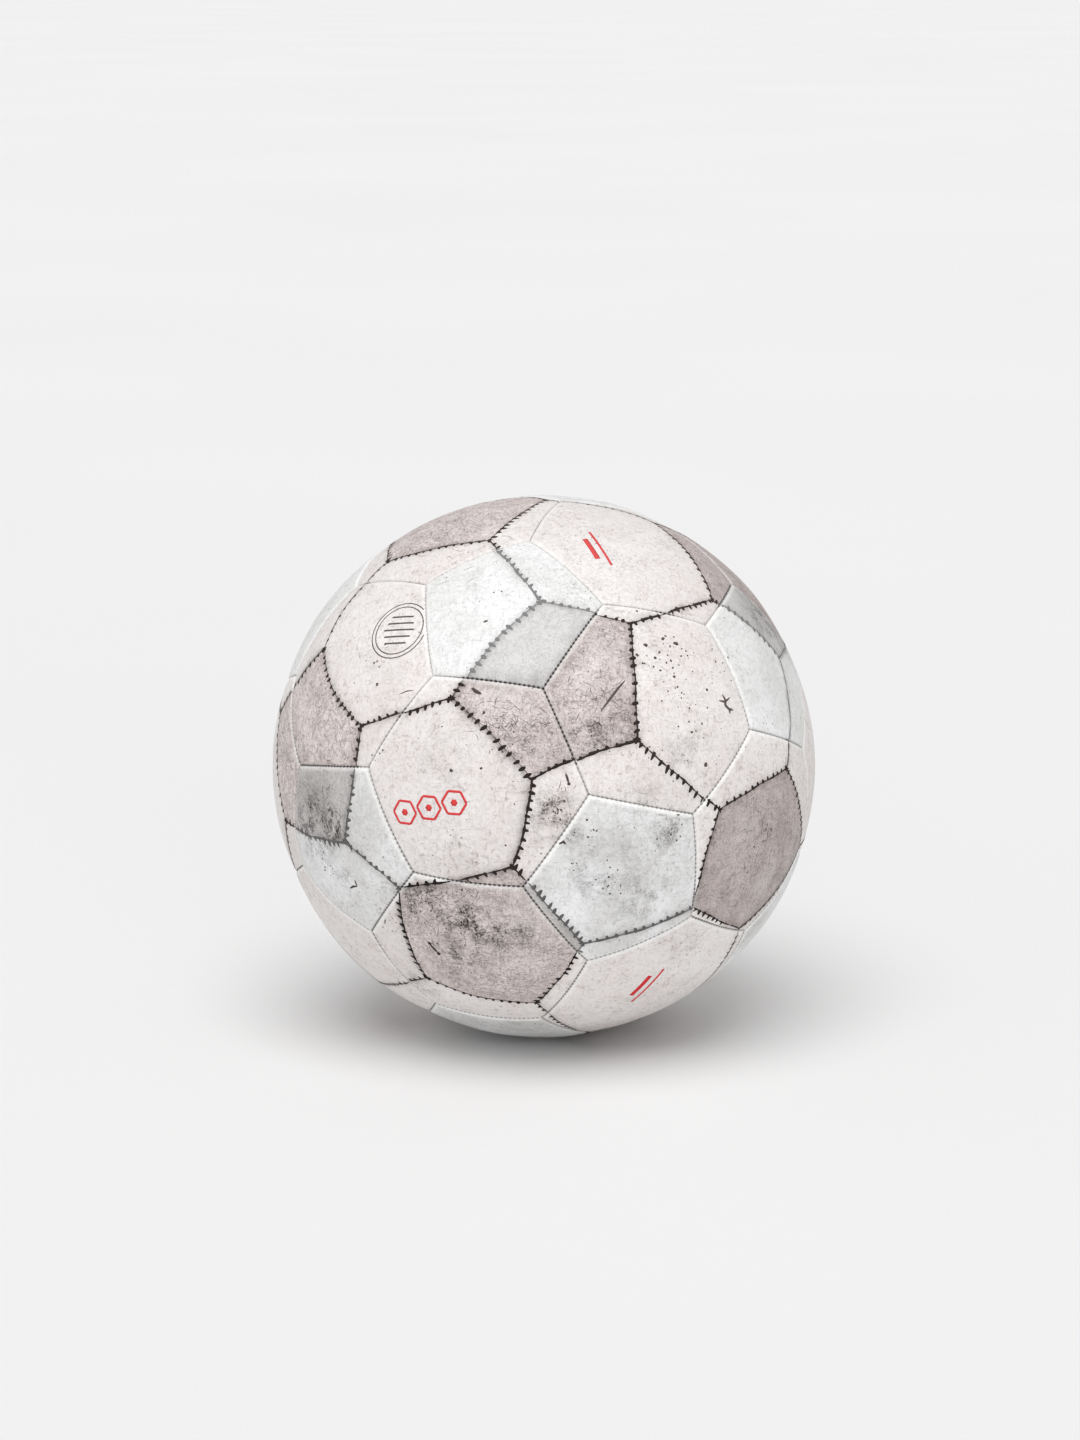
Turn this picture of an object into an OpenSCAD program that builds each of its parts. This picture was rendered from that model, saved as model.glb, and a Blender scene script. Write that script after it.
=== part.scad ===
// Stitched 32-panel football: crowned cover panels with turned-in flanges, cloth linings,
// seam thread, an inner bladder and a valve with a removable core.
// Origin at the centre of the ball, +Z up as the ball lies.

/* [Ball] */
// Diameter over the middles of the panels
ball_d = 220; // [215:1:225]
// How far the centre of each panel's crown lies from the centre of the ball
crown_shift = 10; // [0:1:15]
// Turn of the seam pattern as the ball lies, about X
turn_x = 12.5; // [-180:0.1:180]
// Turn of the seam pattern as the ball lies, about Y
turn_y = 3.7; // [-180:0.1:180]
// Turn of the seam pattern as the ball lies, about Z
turn_z = -15.4; // [-180:0.1:180]

/* [Cover and linings] */
// Thickness of a cover panel at its middle
cover_t = 2.4; // [2.3:0.1:3]
// Thickness of the edge strip that each panel turns inwards
flange_t = 1.6; // [1.2:0.1:2]
// Gap between two flanges that are sewn together
flange_gap = 0.2; // [0.1:0.1:0.4]
// Width of the groove above a seam
groove_w = 1.2; // [1.2:0.1:1.6]
// Depth of the groove's floor below the ball's diameter
groove_depth = 2; // [1.8:0.1:2.2]
// Thickness of the cloth lining behind a panel
lining_t = 2.5; // [2:0.1:3]
// Diameter of the thread that shows in a seam
thread_d = 0.9; // [0.6:0.1:1]

/* [Bladder] */
// Thickness of the bladder's rubber
bladder_t = 0.9; // [0.6:0.1:1.5]
// Thickness of the two rubber patches inside the bladder
patch_t = 1.5; // [1:0.1:2]
// Diameter of the two rubber patches
patch_d = 44; // [30:1:50]

/* [Valve] */
// Diameter of the hole in the valve panel
valve_hole_d = 9; // [8.8:0.1:10]
// Diameter of the stem where it shows in that hole
stem_neck_d = 8.4; // [8:0.1:8.4]
// Diameter of the stem inside the bladder
stem_base_d = 12; // [11:0.5:14]
// Length of the stem
stem_l = 17; // [16:0.5:20]
// Depth of the stem's mouth below the ball's diameter
stem_recess = 0.9; // [0.6:0.1:1.5]
// Diameter of the removable core
core_d = 5.1; // [4.8:0.1:5.4]
// Diameter of the core's head
core_head_d = 6.8; // [6.2:0.1:7]
// Length of the core
core_l = 13; // [12:0.5:14]
// Diameter of the hole that takes an inflating needle
needle_bore_d = 2.1; // [2:0.05:2.4]
// Depth of that hole
needle_bore_l = 11; // [8:0.5:11]

/* [Hidden] */
$fn = 64;
PENTAGONS = 12;
HEXAGONS = 20;
VALVE_HEXAGON = 4;
fit_gap = 0.1;
shoulder_gap = 0.3;
core_gap = 0.05;
core_recess = 0.3;
core_head_t = 1.4;
space = 300;

function two_digits(n) = str(n < 10 ? "0" : "", n);
function names(stem, count) = [for (i = [1:count]) str(stem, two_digits(i))];

// Radii, from the outside of the ball inwards
top_r = ball_d / 2;
crown_r = top_r - crown_shift;
groove_floor_r = top_r - groove_depth;
thread_line_r = groove_floor_r + fit_gap / 2 + thread_d / 2;
cover_in_r = top_r - cover_t;
lining_out_r = cover_in_r - fit_gap;
lining_in_r = lining_out_r - lining_t;
bladder_out_r = lining_in_r - fit_gap;
bladder_in_r = bladder_out_r - bladder_t;
patch_out_r = bladder_in_r - fit_gap / 2;
patch_in_r = patch_out_r - patch_t;

// Heights along the valve's axis, from the centre of the ball
stem_top = top_r - stem_recess;
stem_bottom = stem_top - stem_l;
stem_shoulder = bladder_in_r - shoulder_gap;
core_top = stem_top - core_recess;

// Truncated icosahedron: pentagons centre on an icosahedron's corners, hexagons on its faces.
// Every edge of a hexagon is hexagon_reach from its centre, every edge of a pentagon
// pentagon_reach, and every edge spans the same angle seen from the middle of the ball.
phi = (1 + sqrt(5)) / 2;
hexagon_reach = atan(1 / pow(phi, 2));
pentagon_reach = acos((1 + phi) / sqrt(3 * (2 + phi))) - hexagon_reach;
edge_span = 2 * asin(1 / sqrt(9 * phi + 10));

function unit(v) = v / norm(v);

pentagon_axes = [
    for (a = [1, -1])
        for (b = [phi, -phi])
            each [unit([0, a, b]), unit([a, b, 0]), unit([b, 0, a])]
];
hexagon_axes = concat(
    [for (a = [1, -1]) for (b = [1, -1]) for (c = [1, -1]) unit([a, b, c])],
    [for (a = [1 / phi, -1 / phi])
        for (b = [phi, -phi])
            each [unit([0, b, a]), unit([b, a, 0]), unit([a, 0, b])]]);

// Cosines between the axes of two panels, each a little below the real one
pentagon_beside_hexagon = 0.7;
pentagon_beside_pentagon = 0.4;

function neighbours(c, others) = [for (o = others) if (o * c > pentagon_beside_hexagon) o];

// Direction at right angles to axis c that points from it to axis o
function towards(c, o) = unit(o - (o * c) * c);

module as_it_lies() {
    rotate([turn_x, turn_y, turn_z]) children();
}

// Carries -X to direction c and +Z to direction t. Panels are drawn about -X, so that the
// start and the poles of the spheres they are cut from lie outside them.
module aim(c, t) {
    s = cross(c, t);
    multmatrix([
        [-c[0], s[0], t[0], 0],
        [-c[1], s[1], t[1], 0],
        [-c[2], s[2], t[2], 0]])
        children();
}

module aim_hexagon(c) {
    aim(c, towards(c, neighbours(c, pentagon_axes)[0])) children();
}

module aim_pentagon(c) {
    aim(c, towards(c, neighbours(c, hexagon_axes)[0])) children();
}

module outwards() {
    rotate([0, -90, 0]) children();
}

// The pyramid from the ball's centre through one panel, its sides moved in by inset
module wedge(sides, reach, inset) {
    intersection_for (k = [0:sides - 1])
        rotate([k * 360 / sides, 0, 0])
            rotate([0, 180 + reach, 0])
                translate([-space / 2, -space / 2, inset])
                    cube(space);
}

module cover_panel(sides, reach) {
    difference() {
        union() {
            intersection() {
                wedge(sides, reach, groove_w / 2);
                translate([-crown_shift, 0, 0]) sphere(crown_r);
            }
            intersection() {
                wedge(sides, reach, flange_gap / 2);
                sphere(groove_floor_r);
            }
        }
        intersection() {
            wedge(sides, reach, flange_gap / 2 + flange_t);
            sphere(cover_in_r);
        }
        sphere(lining_in_r);
    }
}

module lining(sides, reach) {
    difference() {
        intersection() {
            wedge(sides, reach, flange_gap / 2 + flange_t + fit_gap);
            sphere(lining_out_r);
        }
        sphere(lining_in_r);
    }
}

module axial_hole(d) {
    outwards() cylinder(h = space, d = d);
}

module hexagon_panel(i) {
    color("#efe6e2")
        as_it_lies()
            aim_hexagon(hexagon_axes[i])
                difference() {
                    cover_panel(6, hexagon_reach);
                    if (i == VALVE_HEXAGON) axial_hole(valve_hole_d);
                }
}

module pentagon_panel(i) {
    color("#e3e4e4")
        as_it_lies()
            aim_pentagon(pentagon_axes[i])
                cover_panel(5, pentagon_reach);
}

module hexagon_linings() {
    color("#d9d4c6")
        as_it_lies()
            for (i = [0:HEXAGONS - 1])
                aim_hexagon(hexagon_axes[i])
                    difference() {
                        lining(6, hexagon_reach);
                        if (i == VALVE_HEXAGON) axial_hole(valve_hole_d);
                    }
}

module pentagon_linings() {
    color("#d9d4c6")
        as_it_lies()
            for (c = pentagon_axes)
                aim_pentagon(c)
                    lining(5, pentagon_reach);
}

// One seam's thread, an arc about the ball's centre with its middle on +X, in the XY plane
module thread_arc() {
    end_gap = 360 * thread_d / (2 * PI * thread_line_r);
    span = edge_span - 2 * end_gap;
    rotate([0, 0, -span / 2])
        rotate_extrude(angle = span)
            translate([thread_line_r, 0])
                circle(d = thread_d);
}

// Carries +X to the middle of a seam and +Y along it
module aim_seam(middle, along) {
    s = cross(middle, along);
    multmatrix([
        [middle[0], along[0], s[0], 0],
        [middle[1], along[1], s[1], 0],
        [middle[2], along[2], s[2], 0]])
        children();
}

// The seam that runs from pentagon a to pentagon b
module seam_between_hexagons(a, b) {
    aim_seam(unit(a + b), unit(b - a)) thread_arc();
}

// The seam on the side of pentagon c that faces direction t
module seam_beside_pentagon(c, t) {
    aim_seam(cos(pentagon_reach) * c + sin(pentagon_reach) * t, cross(c, t)) thread_arc();
}

module hexagon_seam_thread() {
    color("#e8e2d8")
        as_it_lies()
            for (i = [0:PENTAGONS - 2])
                for (j = [i + 1:PENTAGONS - 1])
                    if (pentagon_axes[i] * pentagon_axes[j] > pentagon_beside_pentagon)
                        seam_between_hexagons(pentagon_axes[i], pentagon_axes[j]);
}

module pentagon_seam_thread() {
    color("#e8e2d8")
        as_it_lies()
            for (c = pentagon_axes)
                for (h = neighbours(c, hexagon_axes))
                    seam_beside_pentagon(c, towards(c, h));
}

module at_valve() {
    as_it_lies() aim_hexagon(hexagon_axes[VALVE_HEXAGON]) children();
}

module opposite_valve() {
    as_it_lies() aim_hexagon(-hexagon_axes[VALVE_HEXAGON]) children();
}

module bladder() {
    color("#3a3a3c")
        at_valve()
            difference() {
                sphere(bladder_out_r);
                sphere(bladder_in_r);
                axial_hole(valve_hole_d);
            }
}

// A round patch of rubber that follows the inside of the bladder
module patch() {
    intersection() {
        difference() {
            sphere(patch_out_r);
            sphere(patch_in_r);
        }
        axial_hole(patch_d);
    }
}

module balance_patch() {
    color("#4a4a4c")
        opposite_valve()
            patch();
}

module valve_flange() {
    color("#4a4a4c")
        at_valve()
            difference() {
                patch();
                axial_hole(stem_base_d + 2 * fit_gap);
            }
}

module valve_stem() {
    color("#2c2c2e")
        at_valve()
            outwards()
                difference() {
                    union() {
                        translate([0, 0, stem_bottom])
                            cylinder(h = stem_shoulder - stem_bottom, d = stem_base_d);
                        translate([0, 0, stem_bottom])
                            cylinder(h = stem_l, d = stem_neck_d);
                    }
                    translate([0, 0, stem_bottom - 1])
                        cylinder(h = stem_l + 2, d = core_d + 2 * core_gap);
                    translate([0, 0, core_top - core_head_t - core_gap])
                        cylinder(h = space, d = core_head_d + 2 * core_gap);
                }
}

module valve_core() {
    color("#1f1f21")
        at_valve()
            outwards()
                difference() {
                    union() {
                        translate([0, 0, core_top - core_l])
                            cylinder(h = core_l, d = core_d);
                        translate([0, 0, core_top - core_head_t])
                            cylinder(h = core_head_t, d = core_head_d);
                    }
                    translate([0, 0, core_top - needle_bore_l])
                        cylinder(h = needle_bore_l + 1, d = needle_bore_d);
                }
}

for (i = [1:HEXAGONS])
    hexagon_panel(i - 1);
for (i = [1:PENTAGONS])
    pentagon_panel(i - 1);
hexagon_linings();
pentagon_linings();
hexagon_seam_thread();
pentagon_seam_thread();
bladder();
balance_patch();
valve_flange();
valve_stem();
valve_core();
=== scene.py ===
"""A worn-look 32-panel football: puffed panels, seam stitches, printed artwork and a valve.

The panels are sewn in one net of pentagons and hexagons. The artwork printed on them is a second
net of dark hand-sewn seams, turned against the first, with darker pentagons and stained hide.
Directions are unit vectors from the ball's centre, and lengths on its surface are in millimetres.
"""
import math

import bpy
import numpy as np
from mathutils import Matrix, Vector, kdtree


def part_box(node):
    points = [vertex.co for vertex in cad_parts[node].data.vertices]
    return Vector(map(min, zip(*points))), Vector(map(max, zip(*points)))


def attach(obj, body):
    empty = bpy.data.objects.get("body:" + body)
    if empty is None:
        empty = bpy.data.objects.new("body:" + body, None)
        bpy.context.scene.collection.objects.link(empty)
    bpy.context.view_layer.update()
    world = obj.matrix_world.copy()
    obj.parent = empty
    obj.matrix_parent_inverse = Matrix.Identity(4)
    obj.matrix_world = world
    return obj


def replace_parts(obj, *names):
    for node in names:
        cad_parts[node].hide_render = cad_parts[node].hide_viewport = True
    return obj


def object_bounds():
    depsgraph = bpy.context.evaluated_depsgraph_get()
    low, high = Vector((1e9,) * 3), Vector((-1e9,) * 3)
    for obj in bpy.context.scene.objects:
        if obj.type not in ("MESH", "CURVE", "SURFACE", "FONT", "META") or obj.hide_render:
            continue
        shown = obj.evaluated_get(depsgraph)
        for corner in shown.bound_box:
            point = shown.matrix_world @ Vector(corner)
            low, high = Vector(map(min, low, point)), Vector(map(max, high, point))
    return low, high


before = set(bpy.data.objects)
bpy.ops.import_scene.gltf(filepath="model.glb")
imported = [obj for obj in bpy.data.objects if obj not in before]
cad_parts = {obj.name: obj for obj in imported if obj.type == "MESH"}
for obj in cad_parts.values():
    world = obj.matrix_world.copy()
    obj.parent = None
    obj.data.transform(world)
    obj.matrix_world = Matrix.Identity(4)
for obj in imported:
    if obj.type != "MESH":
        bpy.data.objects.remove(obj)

CAD_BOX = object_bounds()
MM = 0.001

# ---- sizes
BALL_R = 110.0  # over the middles of the panels
CROWN_SHIFT = 10.0  # how far a panel's crown is centred from the ball's centre
BALL_TURN = (12.5, 3.7, -15.4)  # how the sewn net lies, in degrees about X, Y and Z
PRINT_TURN = (-24.1, -16.6, -23.8)  # how the printed net lies
FLOOR_Z = CAD_BOX[0].z

SEAM_GAP = 0.05  # half the gap between two panels' lips
EDGE_W = 1.6  # width of a panel's rolled edge
EDGE_DROP = 0.8  # how far the rolled edge falls
CORNER_BLEND = 0.35  # rounding of the rolled edge at a panel's corners
SIDE_STITCHES = 24  # spaces between stitches along one side of a panel
PUCKER = 0.3  # how far a stitch pulls the lip down
PUCKER_W = 0.7  # how quickly that fades away from the seam
DENT = 0.035  # height of each of the waves that make the cover uneven
DENT_COUNT = 14
DENT_RATE = 9.0  # how closely the waves follow each other

WALL_IN = 0.07  # how far a flange lies from the middle of its seam
FLANGE_T = 1.6  # thickness of the edge strip turned inwards
FLANGE_R = 105.05  # how far in the flange reaches
LIP_R = 107.3  # where the rolled edge turns into the flange
ROOF_R = 107.65  # the cover's inner face

VALVE_HOLE_R = 4.5
RIM_DROP = 0.5  # how far the edge of the valve hole is rounded down
RIM_W = 0.35
VALVE_NODE = "hexagon_panel_05"

PHI = (1 + math.sqrt(5)) / 2
HEXAGON_REACH = math.atan(PHI ** -2)
PENTAGON_REACH = math.acos((1 + PHI) / math.sqrt(3 * (2 + PHI))) - HEXAGON_REACH
HALF_EDGE = math.asin(1 / math.sqrt(9 * PHI + 10))
BESIDE = 0.7  # a little under the cosine between two panels that share a side
NEAR_PENTAGONS = 0.4  # and between two pentagons at the ends of one side
GROUP_TIGHTNESS = 1.7  # a loose group's radius over its standard deviation

PENTAGONS = 12  # a net's cells from this number on are hexagons

RNG = np.random.default_rng(32)


# ---- directions
def unit(v):
    v = np.asarray(v, float)
    return v / np.linalg.norm(v, axis=-1, keepdims=True)


def turned(points, degrees):
    """Points turned about X, then Y, then Z."""
    for axis, angle in zip("XYZ", degrees):
        points = points @ np.array(Matrix.Rotation(math.radians(angle), 3, axis)).T
    return points


def towards(axis, other):
    """The direction at right angles to axis that points to other."""
    return unit(other - (other @ axis) * axis)


def place_at(degrees):
    """A direction from degrees to the right of the front, and degrees up."""
    lon, lat = np.radians(np.asarray(degrees, float)).T
    return np.stack([np.sin(lon) * np.cos(lat), -np.cos(lon) * np.cos(lat), np.sin(lat)], -1)


def around(centre):
    """Two directions at right angles to a direction and to each other: right and up."""
    right = unit(np.cross((0, 0, 1), centre))
    return right, np.cross(centre, right)


def heading(centre, angle):
    """The direction along the surface at centre that lies at an angle from right towards up."""
    right, up = around(centre)
    return np.cos(angle) * right + np.sin(angle) * up


def turns(count, more=0):
    """The angles of points spaced evenly round a circle, with a few more after a whole turn."""
    return np.arange(count + more) * 2 * math.pi / count


def spread(count):
    """Random directions all over the ball."""
    return unit(RNG.normal(size=(count, 3)))


def behind(count):
    """Random directions, of which only those on the back half are kept."""
    return [direction for direction in spread(count) if direction[1] > 0]


def scattered(centre, radius, count):
    """Random directions in a loose group, whose radius is in mm."""
    return unit(centre + RNG.normal(size=(count, 3)) * radius / GROUP_TIGHTNESS / BALL_R)


class Net:
    """A football's net: 12 pentagons, 20 hexagons, 60 corners and 90 edges.

    Corner (i, j) is the corner of pentagon i that points to pentagon j.
    """

    def __init__(self, degrees):
        rows = [p for a in (1, -1) for b in (PHI, -PHI) for p in ((0, a, b), (a, b, 0), (b, 0, a))]
        self.pentagons = turned(unit(rows), degrees)
        near = self.pentagons @ self.pentagons.T > NEAR_PENTAGONS
        self.pairs = [(i, j) for i in range(PENTAGONS) for j in range(PENTAGONS)
                      if i != j and near[i, j]]
        self.triples = [(i, j, k) for i, j in self.pairs for k in range(j + 1, PENTAGONS)
                        if i < j and near[i, k] and near[j, k]]
        self.hexagons = unit([self.pentagons[list(t)].sum(0) for t in self.triples])
        self.cells = np.vstack([self.pentagons, self.hexagons])
        self.corners = {(i, j): unit(2 * self.pentagons[i] + self.pentagons[j]) for i, j in self.pairs}

    def edges(self):
        """Each edge as its two corners and the two cells beside it."""
        for i, j in self.pairs:
            if i < j:
                beside = [PENTAGONS + n for n, t in enumerate(self.triples) if i in t and j in t]
                yield (i, j), (j, i), *beside
        for n, (i, j, k) in enumerate(self.triples):
            for a, b, c in ((i, j, k), (j, k, i), (k, i, j)):
                yield (a, b), (a, c), a, PENTAGONS + n


# ---- the panels' surface
DENT_WAVES = RNG.normal(size=(DENT_COUNT, 3)) * DENT_RATE
DENT_PHASES = RNG.uniform(0, 2 * math.pi, DENT_COUNT)


def dents(directions):
    """Slight unevenness of the cover, in mm."""
    return DENT * np.cos(directions @ DENT_WAVES.T + DENT_PHASES).sum(-1)


def crown_height(cosine):
    """How high a panel's crown lies, from the cosine of the angle to the panel's middle."""
    crown_r = BALL_R - CROWN_SHIFT
    return CROWN_SHIFT * cosine + np.sqrt(crown_r ** 2 - CROWN_SHIFT ** 2 * (1 - cosine ** 2))


LIP_LIGHT = np.array([-0.35, -0.15, 0.92])  # where the light comes from, for the painted highlight on the lips
LIP_EVEN = 0.4  # how strongly a rolled edge that lies level is painted paler
LIP_TURNED = 0.8  # how much more painted highlight it gets when it is turned to the light
LIP_LEAST = 0.1
FADE = 0.45  # how faded a pentagon's print is at half height
FADE_RISE = 0.6  # how much more at the top
FADE_SPREAD = 0.1


class Panel:
    """One sewn panel: where it lies, and the height of its surface above the ball's centre."""

    def __init__(self, net, cell, node_axes):
        self.axis = net.cells[cell]
        self.is_pentagon = cell < PENTAGONS
        self.shape = "pentagon" if self.is_pentagon else "hexagon"
        self.sides = 5 if self.is_pentagon else 6
        self.reach = PENTAGON_REACH if self.is_pentagon else HEXAGON_REACH
        nodes = [name for name in node_axes if name.startswith(self.shape)]
        self.node = max(nodes, key=lambda name: node_axes[name] @ self.axis)
        self.has_valve = self.node == VALVE_NODE
        neighbour = next(c for n, c in enumerate(net.cells) if n != cell and c @ self.axis > BESIDE)
        first = towards(self.axis, neighbour)
        across = np.cross(self.axis, first)
        angles = turns(self.sides)[:, None]
        outward = np.cos(angles) * first + np.sin(angles) * across
        self.along = np.cos(angles) * across - np.sin(angles) * first
        self.inward = math.sin(self.reach) * self.axis - math.cos(self.reach) * outward
        self.middles = math.cos(self.reach) * self.axis + math.sin(self.reach) * outward
        half = math.pi / self.sides
        self.e1 = math.cos(half) * first - math.sin(half) * across
        self.e2 = np.cross(self.axis, self.e1)
        self.slip = small_turn()
        fade = FADE + FADE_RISE * self.axis[2] + RNG.uniform(-FADE_SPREAD, FADE_SPREAD)
        self.fade = float(np.clip(fade, 0, 1))

    def side_distances(self, directions):
        return BALL_R * np.arcsin(np.clip(directions @ self.inward.T, -1, 1))

    def seam_distance(self, directions):
        return self.side_distances(directions).min(-1)

    def stitch_pull(self, directions):
        """1 beside the middle of a stitch of the nearest side, 0 halfway between two stitches."""
        nearest = self.side_distances(directions).argmin(-1)
        place = (directions * self.along[nearest]).sum(-1) / (directions * self.middles[nearest]).sum(-1)
        stitch = (place / math.tan(HALF_EDGE) + 1) / 2 * SIDE_STITCHES
        return 0.5 + 0.5 * np.cos(2 * math.pi * stitch)

    def lip_light(self, directions):
        """How much the nearest side's rolled edge is painted paler, 0 to 1: a little everywhere, more as a
        painted highlight where it turns to the light from above.
        """
        nearest = self.side_distances(directions).argmin(-1)
        return np.clip(LIP_EVEN - LIP_TURNED * self.inward[nearest] @ LIP_LIGHT, LIP_LEAST, 1)

    def height(self, directions):
        cosine = directions @ self.axis
        height = crown_height(cosine)
        sides = self.side_distances(directions)
        edge = -CORNER_BLEND * np.log(np.exp(-sides / CORNER_BLEND).sum(-1))
        fall = np.clip(1 - (edge - SEAM_GAP) / EDGE_W, 0, 1)
        height -= EDGE_DROP * (1 - np.sqrt(1 - fall ** 2))
        height -= PUCKER * self.stitch_pull(directions) * np.exp(-np.maximum(edge, 0) / PUCKER_W)
        if self.has_valve:
            rim = BALL_R * np.arccos(np.clip(cosine, -1, 1)) - VALVE_HOLE_R
            height -= RIM_DROP * np.exp(-np.maximum(rim, 0) / RIM_W)
        return height + dents(directions)

    def direction(self, x, y):
        """The direction through a point of the plane that touches the ball at the panel's middle."""
        return unit(self.axis + x[:, None] * self.e1 + y[:, None] * self.e2)


# ---- meshes
def zipped(inner, outer):
    """Faces between two rings of vertex numbers that start at the same angle."""
    a, b = len(inner), len(outer)
    if a == b:
        return [(inner[i], outer[i], outer[(i + 1) % a], inner[(i + 1) % a]) for i in range(a)]
    faces = []
    i = j = 0
    while i < a or j < b:
        if (i + 1) * b <= (j + 1) * a:
            faces.append((inner[i % a], outer[j % b], inner[(i + 1) % a]))
            i += 1
        else:
            faces.append((inner[i % a], outer[j % b], outer[(j + 1) % b]))
            j += 1
    return [face for face in faces if len(set(face)) == 3]


def rings_to_faces(counts, closed):
    """Faces of a skin over rings that have the given counts of points."""
    starts = np.concatenate([[0], np.cumsum(counts)])
    rings = [list(range(a, b)) for a, b in zip(starts, starts[1:])]
    following = rings[1:] + (rings[:1] if closed else [])
    return [face for inner, outer in zip(rings, following) for face in zipped(inner, outer)]


def lathe(profile, count, closed):
    """Points and faces of a turned shape, from pairs of radius and height along its third axis."""
    angles = turns(count)
    rings = [angles if radius else angles[:1] for radius, _ in profile]
    points = [(radius * math.cos(angle), radius * math.sin(angle), height)
              for (radius, height), ring in zip(profile, rings) for angle in ring]
    return np.array(points), rings_to_faces([len(ring) for ring in rings], closed)


def add_object(name, data):
    """An object in the scene."""
    added = bpy.data.objects.new(name, data)
    bpy.context.collection.objects.link(added)
    return added


def add_piece(name, points, faces, material, body="ball"):
    """A mesh piece on a CAD body, from points in millimetres."""
    mesh = bpy.data.meshes.new(name)
    mesh.from_pydata((np.asarray(points) * MM).tolist(), [], faces)
    mesh.shade_smooth()
    mesh.materials.append(material)
    piece = add_object(name, mesh)
    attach(piece, body)
    return piece


def add_attributes(piece, **attributes):
    for name, values in attributes.items():
        attribute = piece.data.attributes.new(name, "FLOAT", "POINT")
        attribute.data.foreach_set("value", np.asarray(values, np.float32))


LATTICE = 44  # rings of the panel's top, and points along each side of the last ring
LATTICE_EDGE = 1.85  # distance of that ring from the seam
HOLE_RING = 8  # the ring that becomes the edge of the valve hole
HOLE_RIM = (0.004, 0.01)  # two more rings beside it
LIP_POINTS = 72  # points along each side of the rings over the rolled edge
LIP_RINGS = (1.5, 1.2, 0.95, 0.74, 0.57, 0.43, 0.32, 0.23, 0.15, 0.09, SEAM_GAP)
ROOF_RINGS = ((22, 0.66), (11, 0.33))


def panel_rings(hole):
    """A panel's rings from the middle of its top out to the seam and back underneath.

    Each is its points along a side, its share of the way from the middle to the edge, how far in
    from the seam that edge lies, and its height, or nan for the surface.
    """
    start = HOLE_RING if hole else 0
    yield start, 0, LATTICE_EDGE, math.nan
    if hole:
        for share in HOLE_RIM:
            yield start, share, LATTICE_EDGE, math.nan
    for i in range(start + 1, LATTICE + 1):
        yield i, (i - start) / (LATTICE - start), LATTICE_EDGE, math.nan
    for inset in LIP_RINGS:
        yield LIP_POINTS, 1, inset, math.nan
    yield LATTICE, 1, WALL_IN, LIP_R
    yield LATTICE, 1, WALL_IN, FLANGE_R
    yield LATTICE, 1, WALL_IN + FLANGE_T, FLANGE_R
    yield LATTICE, 1, WALL_IN + FLANGE_T, ROOF_R
    for points, share in ROOF_RINGS:
        yield points, share, WALL_IN + FLANGE_T, ROOF_R
    yield start, 0, WALL_IN + FLANGE_T, ROOF_R


def panel_layout(sides, reach, hole):
    """The plane coordinates, heights and faces shared by every panel of one kind."""
    rings = []
    angles = turns(sides, 1)
    for steps, share, inset, height in panel_rings(hole):
        x = y = np.zeros(1)
        if steps:
            size = math.tan(reach - inset / BALL_R) / math.cos(math.pi / sides)
            side, step = np.divmod(np.arange(sides * steps), steps)
            part = step / steps
            x = (1 - part) * np.cos(angles[side]) + part * np.cos(angles[side + 1])
            y = (1 - part) * np.sin(angles[side]) + part * np.sin(angles[side + 1])
            hole_size = (1 - share) * VALVE_HOLE_R / BALL_R if hole else 0
            scale = share * size + hole_size / np.hypot(x, y)
            x, y = x * scale, y * scale
        rings.append(np.stack([x, y, np.full(len(x), height)]))
    faces = rings_to_faces([ring.shape[1] for ring in rings], hole)
    return *np.concatenate(rings, axis=1), faces


# ---- the printed net
PRINT_SLIP = 0.45  # most that a panel's print is turned, in degrees
PRINT_WEIGHTS = (0.7, 1.2)  # range of the weight of a line, and of its ticks
PRINT_STEPS = 110  # points along one printed seam
CORNER_JITTER = 1.2  # most that a corner of the printed net is moved
BOW = 1.2  # most that a printed seam bends sideways
WOBBLE = 0.22  # height of the small waves along it
WOBBLE_RATES = (9, 16)
# Corners of the printed net that sit off its even pattern: mm to the right, and up
CORNER_NUDGES = {
    (4, 6): (7, 0), (6, 4): (4, -3), (4, 2): (0, 3), (2, 4): (2, -5), (4, 8): (-2, 0), (4, 9): (-1, 0),
    (4, 10): (-3, -2), (10, 4): (1, -4), (10, 6): (-1, 0), (10, 9): (5, -7), (9, 10): (-3, 9),
    (9, 4): (2, 9), (9, 8): (-3, 6), (8, 9): (-1, 3), (8, 4): (-1, -1), (8, 2): (-1, -1), (2, 8): (1, 0),
    (9, 3): (0, 10), (9, 11): (3, 7), (8, 3): (-7, 5), (6, 10): (3, -1), (8, 1): (4, -2), (2, 6): (2, 3),
    (6, 2): (-2, 3),
}
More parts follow.
